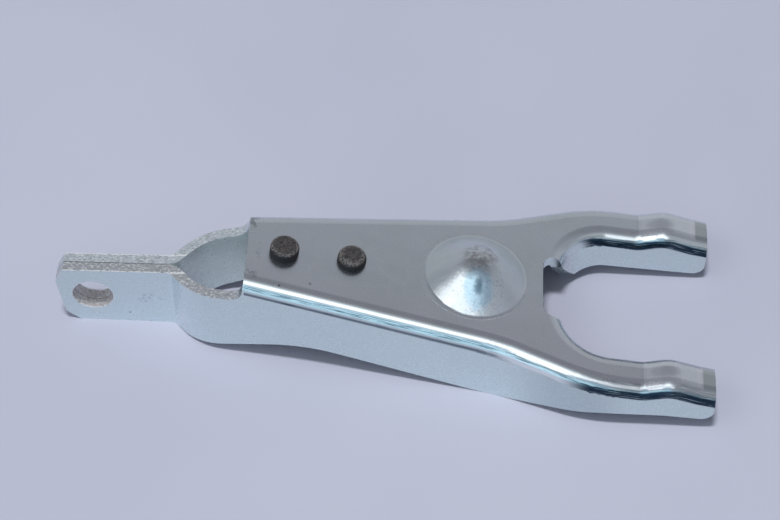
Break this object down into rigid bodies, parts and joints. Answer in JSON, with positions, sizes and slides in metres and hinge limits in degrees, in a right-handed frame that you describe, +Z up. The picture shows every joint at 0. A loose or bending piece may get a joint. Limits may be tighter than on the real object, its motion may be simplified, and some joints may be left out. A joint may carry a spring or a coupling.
{
  "type": "clutch fork",
  "caption": "Clutch release fork of folded, zinc-plated sheet steel, with a domed pivot socket, a double tang with a rod hole, and a retaining spring held by black rivets.",
  "frame": {"origin": "centre of the pivot ball's socket", "axes": "+X along the fork to the arm tips, +Z up as the fork lies on its flanges and tang, +Y to its left; symmetric about the XZ plane. The plate slopes 7.92 degrees down towards the tips."},
  "size_m": [0.237, 0.084, 0.043],
  "materials": {
    "plated_steel": "bright zinc plate, rough sheared edges",
    "rivet_black": "black oxide, satin",
    "spring_steel": "oiled spring steel, satin"
  },
  "bodies": {
    "root": {"fork_body": "plated_steel", "rivet_lever_end": "rivet_black", "rivet_ball_end": "rivet_black", "ball_spring": "spring_steel"}
  },
  "joints": []
}
